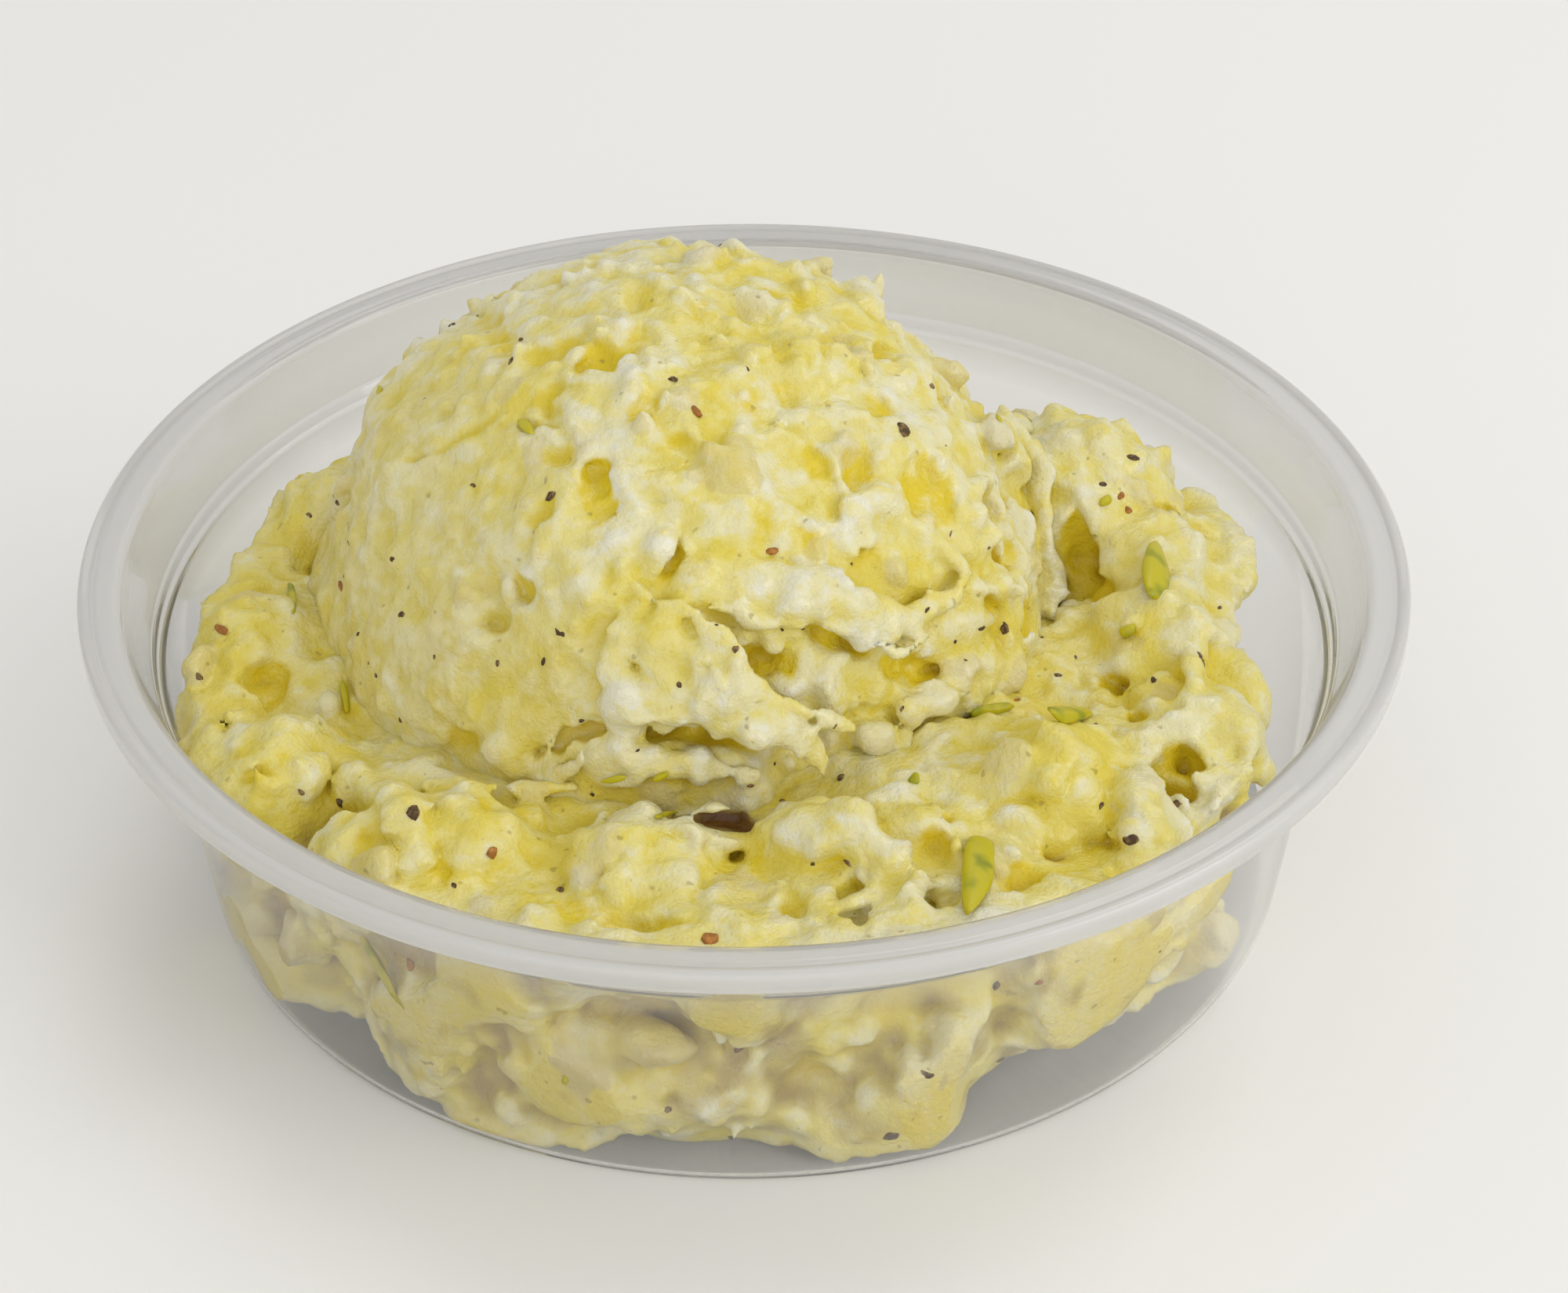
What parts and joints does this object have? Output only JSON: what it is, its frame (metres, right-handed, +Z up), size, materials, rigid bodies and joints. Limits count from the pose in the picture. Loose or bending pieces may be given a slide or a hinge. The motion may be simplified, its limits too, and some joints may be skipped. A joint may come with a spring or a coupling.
{
  "type": "cup of potato salad",
  "caption": "Low round clear plastic cup with a flanged rim, filled with chunky potato salad under one large torn scoop.",
  "frame": {"origin": "middle of the cup's flat foot, on the surface it stands on", "axes": "+Z up through the cup's open mouth, -Y towards the torn front of the scoop, +X to the right seen from that front"},
  "size_m": [0.117, 0.117, 0.0555],
  "materials": {
    "clear_plastic": "clear gloss, slightly milky at the rim",
    "salad": "moist, uneven, cream to yellow"
  },
  "bodies": {
    "root": {"cup": "clear_plastic", "potato_salad": "salad"}
  },
  "joints": []
}
